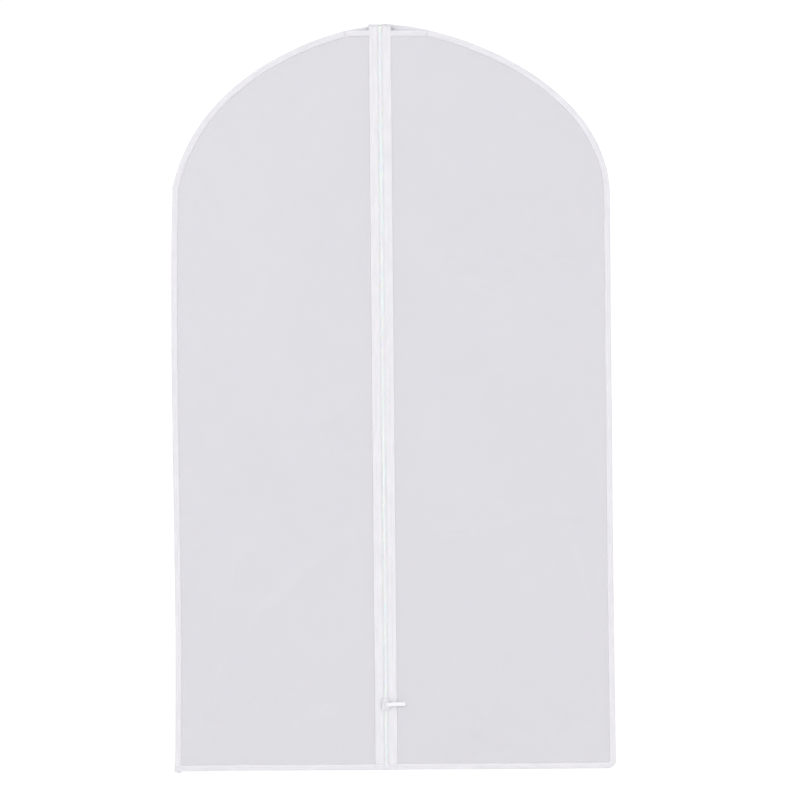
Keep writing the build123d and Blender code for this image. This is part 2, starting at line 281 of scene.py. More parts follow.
def directions(points):
    """Unit tangents of a line of points."""
    d = np.gradient(points, axis=0)
    return d / np.linalg.norm(d, axis=1)[:, None]


def inward(points):
    """Unit normals of an anticlockwise (x, z) line, towards its left."""
    d = directions(points)
    return np.stack([-d[:, 1], d[:, 0]], 1)


def in_depth(points, y):
    """(x, z) points as (x, y, z) points."""
    return np.stack([points[:, 0], np.broadcast_to(y, len(points)), points[:, 1]], 1)


def in_height(points, z):
    """(x, y) points as (x, y, z) points."""
    return np.stack([points[:, 0], points[:, 1], np.full(len(points), z)], 1)


def rounded_hem():
    """The hem from left to right, and then the arc round its right corner."""
    left, right, up_right = (np.array(p, float) * MM for p in (LEFT_HEM, RIGHT_HEM, RIGHT_SIDE[1]))
    along = (right - left) / np.linalg.norm(right - left)
    up = (up_right - right) / np.linalg.norm(up_right - right)
    middle = right + HEM_ROUNDING * (up - along)
    turn = np.linspace(0, math.pi / 2, 12)[:, None]
    arc = middle + HEM_ROUNDING * (np.sin(turn) * along - np.cos(turn) * up)
    return joined(np.array([left, arc[0]]), arc)


def zip_x(z):
    """The x of the zip's centre line at height z."""
    return ZIP_TOP_X - ZIP_LEAN * z


def hem_z(x):
    """The height of the hem's edge at x."""
    slope = (RIGHT_HEM[1] - LEFT_HEM[1]) / (RIGHT_HEM[0] - LEFT_HEM[0])
    return LEFT_HEM[1] * MM + slope * (x - LEFT_HEM[0] * MM)


left_side = joined(bezier(LEFT_SIDE[0:4]), bezier(LEFT_SIDE[3:7]))
right_side = joined(bezier(RIGHT_SIDE[0:4]), bezier(RIGHT_SIDE[3:7]))
hem = rounded_hem()
right_side = right_side[right_side[:, 1] > hem[-1, 1]]
outline = np.vstack([left_side, hem[1:], right_side])
rim = resampled(outline, RIM_STEP)
rim_lengths = lengths(rim)


def nearest_edge(x, z):
    """(how far each point lies from the outline, how far round the outline the nearest place is)."""
    flat = np.stack([np.ravel(x), np.ravel(z)], 1)
    gaps, where = np.empty(len(flat)), np.empty(len(flat))
    at_once = 4000  # points in one block, to keep the table of distances small
    for start in range(0, len(flat), at_once):
        block = slice(start, start + at_once)
        all_gaps = np.linalg.norm(flat[block, None, :] - rim[None, :, :], axis=2)
        gaps[block] = all_gaps.min(axis=1)
        where[block] = rim_lengths[all_gaps.argmin(axis=1)]
    return gaps.reshape(np.shape(x)), where.reshape(np.shape(x))


def field(x, z, size, seed, octaves=3):
    """Smooth noise from about -1 to 1 over the points, with features about a size across."""
    spots = np.stack([np.ravel(x) / size, np.ravel(z) / size], 1)
    values = [noise.fractal(Vector((a, b, seed)), 1.0, 2.0, octaves) for a, b in spots]
    return np.array(values).reshape(np.shape(x))


def creased(x, z):
    """The height of the pressed creases: steep on their upper side, easing away below them."""
    wander = CREASE_WANDER * field(x, z, 0.05, 21.0, 2)
    height = np.zeros(np.shape(x))
    for crease in CREASES:
        line = resampled(np.array(crease, float) * MM, CREASE_STEP)
        gaps = np.hypot(x[..., None] - line[:, 0], z[..., None] - line[:, 1])
        nearest = gaps.argmin(axis=-1)
        across = z - line[nearest, 1] + wander
        width = np.where(across > 0, 1.0, CREASE_EASING) * CREASE_WIDTH
        far = gaps.min(axis=-1) / width
        ends = smooth(nearest / CREASE_ENDS) * smooth((len(line) - 1 - nearest) / CREASE_ENDS)
        height += CREASE_HEIGHT * ends / (1 + far**2)
    return height


# =================================================================================================
# Meshes
# =================================================================================================
def new_object(name, points, faces, material, flat):
    """A smooth-shaded mesh object. flat gives each vertex its place on the unrolled material."""
    mesh = bpy.data.meshes.new(name)
    mesh.from_pydata(np.asarray(points).tolist(), [], faces)
    mesh.polygons.foreach_set("use_smooth", [True] * len(mesh.polygons))
    layer = mesh.uv_layers.new(name="flat")
    corners = np.empty(len(mesh.loops), np.int32)
    mesh.loops.foreach_get("vertex_index", corners)
    layer.data.foreach_set("uv", np.asarray(flat, float)[corners].ravel())
    mesh.materials.append(material)
    mesh.update()
    made = bpy.data.objects.new(name, mesh)
    bpy.context.scene.collection.objects.link(made)
    return made


def grid_faces(rows, columns, start, flipped):
    """Quads of a grid of vertices whose first one has the number start."""
    r, c = np.meshgrid(np.arange(rows - 1), np.arange(columns - 1), indexing="ij")
    a = (start + r * columns + c).ravel()
    quads = np.stack([a, a + 1, a + columns + 1, a + columns], 1)
    return (quads[:, ::-1] if flipped else quads).tolist()


def border(grid):
    """What lies round the rim of a grid, in order from its first corner."""
    return np.concatenate([grid[0], grid[1:, -1], grid[-1, -2::-1], grid[-2:0:-1, 0]])


def tube_faces(rings, sides, start=0):
    """Quads between rings of vertices, and a flat face at each end. The first vertex is start."""
    i, k = np.meshgrid(np.arange(rings - 1), np.arange(sides), indexing="ij")
    a = start + (i * sides + k).ravel()
    b = start + (i * sides + (k + 1) % sides).ravel()
    ends = start + np.arange(rings * sides).reshape(rings, sides)[[0, -1]]
    return np.stack([a, b, b + sides, a + sides], 1).tolist() + [ends[0, ::-1].tolist(), ends[1].tolist()]


def surface_normals(grid):
    """Unit normals of a (rows, columns, 3) grid of points, rows downwards and columns to the right."""
    n = np.cross(np.gradient(grid, axis=1), np.gradient(grid, axis=0))
    return n / np.maximum(np.linalg.norm(n, axis=2), 1e-12)[..., None]


def shell(name, grid, thickness, material):
    """A closed thin sheet about a grid of points."""
    rows, columns = grid.shape[:2]
    push = surface_normals(grid) * (thickness / 2)
    points = np.vstack([(grid + push).reshape(-1, 3), (grid - push).reshape(-1, 3)])
    count = rows * columns
    faces = grid_faces(rows, columns, 0, False) + grid_faces(rows, columns, count, True)
    around = border(np.arange(count).reshape(rows, columns)).tolist()
    faces += [(b, a, a + count, b + count) for a, b in zip(around, around[1:] + around[:1])]
    flat = np.vstack([grid.reshape(-1, 3)] * 2)[:, [0, 2]]
    return new_object(name, points, faces, material, flat)


def patch(top, bottom, left, right):
    """A grid of (x, z) points spanned between four edges, as a Coons patch."""
    v = np.linspace(0, 1, len(left))[:, None, None]
    u = np.linspace(0, 1, len(top))[None, :, None]
    up_and_down = (1 - v) * top[None] + v * bottom[None]
    side_to_side = (1 - u) * left[:, None] + u * right[:, None]
    upper_corners = (1 - v) * ((1 - u) * top[0] + u * top[-1])
    lower_corners = v * ((1 - u) * bottom[0] + u * bottom[-1])
    return up_and_down + side_to_side - upper_corners - lower_corners


def swept(name, loops, material):
    """A closed body through loops of points, with flat ends. All loops have as many points."""
    loops = np.asarray(loops)
    count, sides = loops.shape[:2]
    middles = lengths(loops.mean(axis=1))
    around = np.linalg.norm(np.diff(loops[0], axis=0, append=loops[0][:1]), axis=1).cumsum()
    flat = np.stack([np.tile(around, count), np.repeat(middles, sides)], 1)
    return new_object(name, loops.reshape(-1, 3), tube_faces(count, sides), material, flat)


def tube(name, path, radius, sides, material):
    """A round filament along a path, whose rings are carried along without twist."""
    tangents = directions(path)
    turn = np.linspace(0, 2 * math.pi, sides, endpoint=False)[:, None]
    across = np.cross(tangents[0], (0.3, 1, 0.2))  # any direction that the path doesn't start in
    rings = []
    for point, tangent in zip(path, tangents):
        across = across - tangent * across.dot(tangent)
        across /= np.linalg.norm(across)
        rings.append(point + radius * (np.cos(turn) * across + np.sin(turn) * np.cross(tangent, across)))
    return swept(name, rings, material)


def stitches(name, rows, pitch, material):
    """Rows of short threads that dip into the cloth at both ends. rows holds (path, outward) pairs."""
    offset, height = STITCH_PROFILE.T[:, None, :, None, None]
    turn = np.linspace(0, 2 * math.pi, THREAD_SIDES, endpoint=False)[:, None]
    rings = len(STITCH_PROFILE)
    points, flat = [], []
    for path, outward in rows:
        total = lengths(path)[-1]
        count = max(1, int(total / pitch))
        spacing = total / count
        middle = (np.arange(count) + 0.5) * spacing
        place = at_lengths(path, middle)
        along = at_lengths(path, middle + spacing / 4) - at_lengths(path, middle - spacing / 4)
        along /= np.linalg.norm(along, axis=1)[:, None]
        out = np.broadcast_to(outward, along.shape)
        side = np.cross(along, out)
        place, along, out, side = (v[:, None, None, :] for v in (place, along, out, side))
        centre = place + along * (offset * spacing) + out * (height * THREAD)
        ring = THREAD * (np.cos(turn) * out + np.sin(turn) * side)
        points.append((centre + ring).reshape(-1, 3))
        round_it = np.broadcast_to(turn * THREAD, (count, rings, THREAD_SIDES, 1))
        along_it = np.broadcast_to(middle[:, None, None, None] + offset * spacing, round_it.shape)
        flat.append(np.concatenate([round_it, along_it], 3).reshape(-1, 2))
    points = np.vstack(points)
    faces = []
    for first in range(0, len(points), rings * THREAD_SIDES):
        faces += tube_faces(rings, THREAD_SIDES, first)
    return new_object(name, points, faces, material, np.vstack(flat))


# =================================================================================================
# Materials
# =================================================================================================
FILM_ALPHA = 0.62
# Each pair of colours is the darker and the lighter tone that a material wanders between.
FILM_TONES = ((0.703, 0.694, 0.732), (0.725, 0.716, 0.754))
BINDING_TONES = ((0.61, 0.60, 0.64), (0.81, 0.80, 0.835))
TAPE_TONES = ((0.615, 0.605, 0.635), (0.815, 0.805, 0.835))
THREAD_TONES = ((0.74, 0.73, 0.76), (0.88, 0.87, 0.9))
COIL_TONES = ((0.93, 0.925, 0.945), (0.98, 0.975, 0.985))
ENAMEL_TONES = ((0.62, 0.62, 0.65), (0.80, 0.80, 0.83))
FLOOR_COLOUR = (0.80, 0.80, 0.80, 1)


class Recipe:
    """A Principled material with helpers for its node network."""

    def __init__(self, name, roughness, **sockets):
        self.material = bpy.data.materials.new(name)
        self.material.use_nodes = True
        self.tree = self.material.node_tree
        self.shader = self.tree.nodes["Principled BSDF"]
        self.shader.inputs["Roughness"].default_value = roughness
        for socket, value in sockets.items():
            self.shader.inputs[socket.replace("_", " ")].default_value = value

    def node(self, kind, settings=(), **inputs):
        """A node with plain settings, and inputs given as values or as other nodes' outputs."""
        made = self.tree.nodes.new("ShaderNode" + kind)
        for key, value in dict(settings).items():
            setattr(made, key, value)
        for key, value in inputs.items():
            socket = made.inputs[int(key[1:])] if key[1:].isdigit() else made.inputs[key.replace("_", " ")]
            if isinstance(value, bpy.types.NodeSocket):
                self.tree.links.new(value, socket)
            else:
                socket.default_value = value
        return made.outputs[0]

    def flat(self, scale):
        """The unrolled material's own coordinates, times a scale for each axis."""
        place = self.node("UVMap", {"uv_map": "flat"})
        return self.node("VectorMath", {"operation": "MULTIPLY"}, i0=place, i1=scale)

    def mix(self, share, tones):
        """A colour between two tones, by a share from 0 to 1."""
        ramp = self.tree.nodes.new("ShaderNodeValToRGB")
        for element, tone in zip(ramp.color_ramp.elements, tones):
            element.color = (*tone, 1)
        self.tree.links.new(share, ramp.inputs[0])
        return ramp.outputs[0]

    def spread(self, value, low, high):
        """A value from 0 to 1 mapped to low to high."""
        return self.node("MapRange", i0=value, i3=low, i4=high)

    def math(self, operation, a, b):
        """One sum of two values."""
        return self.node("Math", {"operation": operation}, i0=a, i1=b)

    def bump(self, height, distance, strength=1.0, under=None):
        """A bump layer, on top of another one."""
        made = self.tree.nodes.new("ShaderNodeBump")
        made.inputs["Strength"].default_value = strength
        made.inputs["Distance"].default_value = distance
        self.tree.links.new(height, made.inputs["Height"])
        if under is not None:
            self.tree.links.new(under, made.inputs["Normal"])
        return made.outputs[0]

    def drive(self, **sockets):
        """Links outputs to the shader's sockets."""
        for socket, value in sockets.items():
            self.tree.links.new(value, self.shader.inputs[socket.replace("_", " ")])
        return self.material


def frosted_film():
    """Matt, slightly clouded plastic film with a fine grain and faint handling crinkles."""
    r = Recipe("frosted_film", 0.46, Alpha=FILM_ALPHA, Specular_IOR_Level=0.35)
    cloud = r.node("TexNoise", Vector=r.flat((7, 7, 1)), Scale=1.0, Detail=3.0)
    grain = r.node("TexNoise", Vector=r.flat((900, 900, 1)), Scale=1.0, Detail=2.0)
    crinkle = r.node("TexNoise", Vector=r.flat((38, 30, 1)), Scale=1.0, Detail=5.0, Distortion=1.6)
    normal = r.bump(crinkle, 1.2 * MM, 0.35)
    normal = r.bump(grain, 0.06 * MM, 0.5, normal)
    return r.drive(
        Base_Color=r.mix(cloud, FILM_TONES),
        Roughness=r.spread(grain, 0.40, 0.54),
        Normal=normal,
    )


def woven(name, tones, ribs, weft, depth):
    """Matt woven tape. ribs and weft are its threads per metre across and along."""
    r = Recipe(name, 0.85, Sheen_Weight=0.15, Sheen_Roughness=0.5, Specular_IOR_Level=0.25)
    place = r.flat((ribs, weft, 1))
    across = r.node("TexWave", {"bands_direction": "X"}, Vector=place, Scale=math.pi / 10, Distortion=0.6)
    along = r.node("TexWave", {"bands_direction": "Y"}, Vector=place, Scale=math.pi / 10, Distortion=0.6)
    weave = r.math("MULTIPLY", across, along)
    slub = r.node("TexNoise", Vector=r.flat((160, 30, 1)), Scale=1.0, Detail=3.0)
    tone = r.math("ADD", r.math("MULTIPLY", weave, 0.35), r.math("MULTIPLY", slub, 0.75))
    return r.drive(
        Base_Color=r.mix(tone, tones),
        Roughness=r.spread(slub, 0.78, 0.92),
        Normal=r.bump(weave, depth, 0.7),
    )


def twisted_thread():
    """Polyester sewing thread: two plies, seen as slanting bands."""
    r = Recipe("sewing_thread", 0.55, Sheen_Weight=0.2)
    ply = r.node("TexWave", {"bands_direction": "DIAGONAL"}, Vector=r.flat((900, 1400, 1)), Scale=0.5)
    return r.drive(
        Base_Color=r.mix(ply, THREAD_TONES),
        Normal=r.bump(ply, 0.05 * MM),
    )


def nylon_coil():
    """Clouded nylon monofilament."""
    r = Recipe("zip_coil", 0.36, Specular_IOR_Level=0.45, Subsurface_Weight=0.5, Subsurface_Scale=1.2 * MM)
    streak = r.node("TexNoise", Vector=r.flat((1200, 90, 1)), Scale=1.0, Detail=2.0)
    return r.drive(
        Base_Color=r.mix(streak, COIL_TONES),
        Roughness=r.spread(streak, 0.30, 0.44),
    )


def slider_enamel():
    """White enamel on cast metal, duller and a little greyer where it is handled."""
    r = Recipe("slider_enamel", 0.28, Coat_Weight=0.25, Coat_Roughness=0.12)
    place = r.node("NewGeometry")
    wear = r.node("TexNoise", Vector=place, Scale=420.0, Detail=4.0)
    orange = r.node("TexNoise", Vector=place, Scale=1500.0, Detail=2.0)
    return r.drive(
        Base_Color=r.mix(wear, ENAMEL_TONES),
        Roughness=r.spread(wear, 0.42, 0.2),
        Normal=r.bump(orange, 0.05 * MM, 0.5),
    )


FILM_LOOK = frosted_film()
BINDING_LOOK = woven("binding_tape", BINDING_TONES, ribs=1600, weft=1900, depth=0.18 * MM)
TAPE_LOOK = woven("zip_tape", TAPE_TONES, ribs=1500, weft=2200, depth=0.15 * MM)
THREAD_LOOK = twisted_thread()
COIL_LOOK = nylon_coil()
ENAMEL_LOOK = slider_enamel()


# =================================================================================================
# How the pieces move
# =================================================================================================
def fold_with(piece, side_name):
    """Bends a front piece open with its flap, while its top, bottom and outer edge stay sewn."""
    side = SIDES[side_name]
    hinge = next(j for j in frame["joints"] if j["name"] == f"flap_{side_name}_fold")
    height = hinge["pos_m"][2]
    start = (side * FOLD_OUTER, 0, height)
    end = (side * FOLD_INNER, 0, height)
    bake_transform(piece, "bag", f"flap_{side_name}", start=start, end=end)
    attribute = piece.data.attributes["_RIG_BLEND"]
    share = np.empty(len(piece.data.vertices), np.float32)
    attribute.data.foreach_get("value", share)
    spots = np.empty(len(share) * 3, np.float32)
    piece.data.vertices.foreach_get("co", spots)
    z = spots[2::3]
    gap = smooth((flap_high.z - z) / FOLD_RAMP) * smooth((z - flap_low.z) / FOLD_RAMP)
    attribute.data.foreach_set("value", (share * gap).astype(np.float32))


# =================================================================================================
# Film
# =================================================================================================
def film_edge(side):
    """The film's cut edge down one side, from beside the hanger opening to the hem corner."""
    run = left_side if side < 0 else right_side[::-1]
    edge = run + inward(run) * FILM_INSET * -side
    kept = edge[(np.abs(edge[:, 0]) > MOUTH_HALF) & (edge[:, 1] > hem_z(edge[:, 0]) + FILM_INSET)]
    corner = kept[-1:, 0]
    return np.vstack([kept, np.stack([corner, hem_z(corner) + FILM_INSET], 1)])


def front_relief(x, z):
    """How far the front film stands forward of its plane."""
    gap, round_edge = nearest_edge(x, z)
    beside_zip = np.abs(x - zip_x(z))
    calm = smooth((gap - EDGE_CALM[0]) / EDGE_CALM[1]) * smooth((beside_zip - ZIP_CALM[0]) / ZIP_CALM[1])
    low = smooth((-z - CRACKLE_DROP[0]) / CRACKLE_DROP[1])
    broad = BROAD_HEIGHT * field(x, z, 0.30, 3.0)
    ridged = 1 - np.abs(field(x + 0.4 * z, z - 0.5 * x, 0.11, 11.0, 4)) * 2.2
    crackle = CRACKLE_HEIGHT * ridged * low
    pucker = np.sin(round_edge / PUCKER_PITCH + 3 * field(x, z, 0.09, 31.0, 2))
    fading = np.exp(-np.maximum(gap - BINDING_WIDTH, 0) / (9 * MM))
    clear_of_fold = smooth((gap - 6 * MM) / (4 * MM))
    seam = PUCKER_HEIGHT * pucker * fading * clear_of_fold
    return calm * (broad + crackle + creased(x, z)) + seam


def pouch_depth(x, z):
    """The y of the back film: sewn flat round the edge, bellied behind, gaping at the neck."""
    gap, round_edge = nearest_edge(x, z)
    belly = smooth((gap - POUCH_START) / POUCH_SLOPE)
    hanging = field(x * 4.2, z * 0.8, 0.42, 5.0)
    dents = field(x, z, 0.16, 8.0)
    folds = FOLD_HEIGHTS[0] * hanging + FOLD_HEIGHTS[1] * dents
    swing = round_edge / TUCK_PITCH + 4 * field(x, z, 0.2, 13.0, 2)
    tucks = TUCK_HEIGHT * np.sin(swing) * np.exp(-(((gap - TUCK_PLACE[0]) / TUCK_PLACE[1]) ** 2))
    fuller_below = 0.90 + 0.10 * smooth((-z - 0.2) / 0.5)
    form = belly * (POUCH_DEPTH * fuller_below + folds) + tucks * belly**0.5
    across = np.clip(1 - (x / (MOUTH_HALF + 2 * MM)) ** 2, 0, 1) ** 2
    gape = MOUTH_GAPE * across * (1 - smooth((-z - GAPE_DROP[0]) / GAPE_DROP[1]))
    # The fourth powers take the larger of the two, with a soft change between them.
    return BACK_DEPTH + (np.maximum(form, 0) ** 4 + gape**4) ** 0.25


def front_film(side_name):
    """One half of the front, from the zip to the edge binding."""
    side = SIDES[side_name]
    outer = film_edge(side)
    heights = np.array([NECK_TOP - FILM_BELOW_NECK, hem_z(zip_x(HEM_LEVEL)) + FILM_INSET])
    at_zip = np.stack([zip_x(heights) + side * FILM_TO_ZIP, heights], 1)
    rows = round(lengths(at_zip)[-1] / FILM_CELL)
    columns = round(abs(outer[-1, 0] - at_zip[-1, 0]) / FILM_CELL)
    outer, at_zip = in_shares(outer, rows), in_shares(at_zip, rows)
    left, right = (outer, at_zip) if side < 0 else (at_zip, outer)
    top_edge = in_shares(np.array([left[0], right[0]]), columns)
    bottom_edge = in_shares(np.array([left[-1], right[-1]]), columns)
    flat = patch(top_edge, bottom_edge, left, right)
    x, z = flat[..., 0], flat[..., 1]
    grid = np.stack([x, FRONT_DEPTH - front_relief(x, z), z], 2)
    piece = shell(f"front_film_{side_name}", grid, FILM, FILM_LOOK)
    fold_with(piece, side_name)
    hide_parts(f"front_panel_{side_name}", f"front_flap_{side_name}")


def back_film():
    """The whole back, one sheet."""
    left, right = film_edge(-1), film_edge(1)
    rows = round(lengths(left)[-1] / BACK_CELL)
    neck = (outline + inward(outline) * FILM_INSET)[neck_part(MOUTH_HALF - 1 * MM)]
    neck = neck[np.argsort(neck[:, 0])]
    columns = round((right[-1, 0] - left[-1, 0]) / BACK_CELL)
    left, right = in_shares(left, rows), in_shares(right, rows)
    top_edge = in_shares(np.vstack([left[:1], neck, right[:1]]), columns)
    bottom_edge = in_shares(np.array([left[-1], right[-1]]), columns)
    flat = patch(top_edge, bottom_edge, left, right)
    x, z = flat[..., 0], flat[..., 1]
    grid = settled(np.stack([x, pouch_depth(x, z), z], 2))
    piece = shell("back_film", grid, FILM, FILM_LOOK)
    finer = piece.modifiers.new("finer", "SUBSURF")
    finer.levels = finer.render_levels = 1
    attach(piece, "bag")
    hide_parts("back_panel")


def settled(grid):
    """The same grid as slack film that has settled under its weight, sewn all round its edge."""
    rows, columns = grid.shape[:2]
    faces = grid_faces(rows, columns, 0, False)
    sheet = new_object("settling", grid.reshape(-1, 3), faces, FILM_LOOK, np.zeros((rows * columns, 2)))
    sewn = np.ones((rows, columns), bool)
    sewn[1:-1, 1:-1] = False
    group = sheet.vertex_groups.new(name="sewn")
    group.add(np.flatnonzero(sewn).tolist(), 1.0, "REPLACE")
    cloth = sheet.modifiers.new("cloth", "CLOTH")
    for setting, value in SETTLING.items():
        setattr(cloth.settings, setting, value)
    cloth.settings.vertex_group_mass = group.name
    cloth.collision_settings.use_collision = True
    cloth.collision_settings.distance_min = 0.4 * MM
    cloth.point_cache.frame_end = SETTLING_FRAMES
    # A wall in the front's place, wound so that its collision side faces the sheet.
    y = BACK_DEPTH - 1.5 * MM
    corners = [(cad_low.x, y, cad_low.z), (cad_low.x, y, cad_high.z)]
    corners += [(cad_high.x, y, cad_high.z), (cad_high.x, y, cad_low.z)]
    front = new_object("front_wall", corners, [(0, 1, 2, 3)], FILM_LOOK, np.zeros((4, 2)))
    front.modifiers.new("collision", "COLLISION")
    front.collision.thickness_outer = 1 * MM
    scene = bpy.context.scene
    for step in range(1, SETTLING_FRAMES + 1):
        scene.frame_set(step)
    shaped = sheet.evaluated_get(bpy.context.evaluated_depsgraph_get()).data
    points = np.empty(rows * columns * 3, np.float32)
    shaped.vertices.foreach_get("co", points)
    scene.frame_set(1)
    bpy.data.objects.remove(sheet)
    bpy.data.objects.remove(front)
    points = points.reshape(rows, columns, 3).astype(float)
    depth = points[..., 1] - BACK_DEPTH
    points[..., 1] = BACK_DEPTH + depth / (1 + (np.maximum(depth, 0) / POUCH_LIMIT) ** 4) ** 0.25
    return points


# =================================================================================================
# Bindings
# =================================================================================================
# Half the folded tape's section, from its outer fold to its inner edge: (inset, half thickness).
# It is pressed down along the film's cut edge inside it, and again under the stitches.
FOLD_SECTION = np.array(
    [(0, 0), (0.12, 0.55), (0.5, 0.98), (1.3, 1.28), (2.2, 1.3), (3.0, 1.12), (3.7, 1.2), (4.5, 1.5)]
    + [(5.1, 1.52), (5.6, 1.4), (6.1, 1.46), (6.9, 1.3), (7.5, 0.98), (8.0, 0.62)]
)
LEG = 0.42  # millimetres, the tape's own thickness
LEAST_HALF_GAP = 0.3  # millimetres, between the legs, where the film goes
SWELL_RUN = 2.5 * MM  # from the fold to where the ridges stand at their full height


def fold_loop(thickness, ridges=0.0, width=1.0):
    """One loop of (inset, y) offsets round a folded tape, front edge first. ridges swells its front."""
    outer = FOLD_SECTION * MM * np.array([width, thickness])
    inner_half = np.maximum(FOLD_SECTION[:, 1] - LEG, LEAST_HALF_GAP) * MM * thickness
    inner = np.stack([np.maximum(outer[:, 0], LEG * MM), inner_half], 1)[2:]

    def in_front(half):
        """The front leg's line, which is the back leg's turned over and lifted by the ridges."""
        swell = ridges * smooth(half[:, 0] / SWELL_RUN)
        return half * (1, -1) - np.stack([np.zeros(len(half)), swell], 1)

    return np.vstack([in_front(outer)[::-1], outer[1:], inner[::-1], in_front(inner)])


def zip_ridges(x, z):
    """How far the zip's ends lift a binding sewn over them."""
    across = np.abs(x - zip_x(z))
    tape = np.interp(across, *(TAPE_SECTION * MM * (1, LIFT_BY_TAPE)).T, right=0)
    coil = LIFT_BY_COIL * smooth((4.2 * MM - across) / (1.4 * MM))
    return np.where(z < LIFT_ZONE, tape + coil, 0)


def bound_edge(name, path, depth, thickness, ridges, seed, slant):
    """A folded tape along an anticlockwise (x, z) path, with the path and its normals.

    Each of depth, thickness, ridges and slant has a value for every point of the path. slant is how
    far a section leans on along the path, over the tape's width.
    """
    normals = inward(path)
    ways = directions(path)
    uneven = field(path[:, 0], path[:, 1], 0.035, seed, 3)
    path = path + normals * (0.28 * MM * field(path[:, 0], path[:, 1], 0.08, seed + 4, 2))[:, None]
    loops = []
    for i in range(len(path)):
        section = fold_loop(thickness[i] * (1 + 0.07 * uneven[i]), ridges[i], 1 + 0.035 * uneven[i])
        inset = section[:, :1]
        place = path[i] + normals[i] * inset + ways[i] * (slant[i] * inset / BINDING_WIDTH)
        loops.append(in_depth(place, depth[i] + section[:, 1]))
    return swept(name, loops, BINDING_LOOK), path, normals


def stitch_lines(path, normals, depth, thickness, ridges):
    """The front and back stitch rows of a binding, each with its outward direction."""
    half = STITCH_HEIGHT * thickness
    line = path + normals * STITCH_INSET
    front = in_depth(line, depth - half - ridges)
    back = in_depth(line, depth + half)
    return [(front, (0, -1, 0)), (back, (0, 1, 0))]


def edge_bindings():
    """The tape round the edge: one length down the left side, one along the hem and up the right."""
    left = left_side[np.abs(left_side[:, 0]) > MOUTH_HALF]
    tail = left[-1] + directions(left)[-1] * TAIL
    down_left = resampled(np.vstack([left, tail]), BINDING_STEP)
    right = right_side[np.abs(right_side[:, 0]) > MOUTH_HALF]
    along_hem = np.vstack([hem, right])
    over_zip = zip_x(hem_z(0)) - hem[0, 0] + np.arange(-18, 18, 0.6) * MM  # finer over the zip's ridges
    steps = np.concatenate([np.arange(0, lengths(along_hem)[-1], BINDING_STEP), over_zip])
    along_hem = at_lengths(along_hem, np.unique(steps))
    rows = []
    pieces = []
    for name, path in (("edge_tape_left", down_left), ("edge_tape", along_hem)):
        inset_x = path[:, 0] + inward(path)[:, 0] * STITCH_INSET
        ridges = zip_ridges(inset_x, path[:, 1])
        thickness = np.ones(len(path))
        slant = np.zeros(len(path))
        if path is down_left:
            slant = TAIL_SLANT * smooth(1 - (lengths(path)[-1] - lengths(path)) / TAIL_RUN)
        else:
            thickness += OVERLAP_SWELL * (1 - smooth(lengths(path) / OVERLAP))
        depth = np.full(len(path), SEAM_DEPTH)
        piece, path, normals = bound_edge(name, path, depth, thickness, ridges, 41.0, slant)
        rows += stitch_lines(path, normals, SEAM_DEPTH, thickness, ridges)
        pieces.append(piece)
    return pieces, rows


def neck_binding(name, path, depth, seed):
    """One neck binding, thinner where its ends go into the edge binding, and its stitch rows."""
    over_opening = smooth((MOUTH_HALF - np.abs(path[:, 0])) / NECK_ENDS)
    thickness = NECK_THICKNESS[0] + NECK_THICKNESS[1] * over_opening
    plain = np.zeros(len(path))
    piece, path, normals = bound_edge(name, path, depth, thickness, plain, seed, plain)
    return piece, stitch_lines(path, normals, depth, thickness, plain)


def neck_bindings():
    """The tape on the front layer's edge, one length each side of the zip, and on the back's."""
    made = []
    for side_name, side in SIDES.items():
        inner = zip_x(NECK_TOP) + side * (TAPE_OUTER - 1.5 * MM)  # just under the zip tape's edge
        xs = np.arange(abs(inner), MOUTH_HALF + TUCK, NECK_STEP) * side
        edge = np.interp(np.abs(xs), *side_heights(side))
        line = np.stack([xs, np.minimum(NECK_TOP, edge - 0.5 * MM)], 1)
        line = line[np.argsort(-line[:, 0])]
        depth = np.full(len(line), FRONT_DEPTH)
        made.append(neck_binding(f"neck_tape_front_{side_name}", line, depth, 47.0 + side))
    arc = outline[neck_part(MOUTH_HALF + TUCK)]
    arc = resampled(arc[np.argsort(-arc[:, 0])], NECK_STEP)
    inside = arc + inward(arc) * FILM_INSET
    depth = pouch_depth(inside[:, 0], inside[:, 1])
    made.append(neck_binding("neck_tape_back", arc, depth, 53.0))
    return [piece for piece, _ in made], [row for _, rows in made for row in rows]


def neck_part(half):
    """Which points of the outline lie over the hanger opening, within half of its middle."""
    return (np.abs(outline[:, 0]) < half) & (outline[:, 1] > TOP_ZONE)


def side_heights(side):
    """The outline's heights over |x| near the peak, on one side."""
    run = left_side if side < 0 else right_side[::-1]
    run = run[run[:, 1] > TOP_ZONE]
    return np.abs(run[:, 0]), run[:, 1]


# =================================================================================================
# Zip
# =================================================================================================
def zip_tape(side_name):
    """One tape: ribbed, with a beaded outer edge."""
    side = SIDES[side_name]
    front = TAPE_SECTION * MM
    back = front[::-1] * (1, 0)
    section = np.vstack([front, back])[::side]  # the same way round on both sides
    loops = []
    for z in np.linspace(TAPE_BOTTOM, TAPE_TOP, TAPE_LOOPS):
        loops.append(in_height(section * (side, -1) + (zip_x(z), TAPE_BACK), z))
    piece = swept(f"zip_tape_{side_name}_woven", loops, TAPE_LOOK)
    fold_with(piece, side_name)
    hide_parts(f"zip_tape_{side_name}", f"zip_tape_{side_name}_ends")


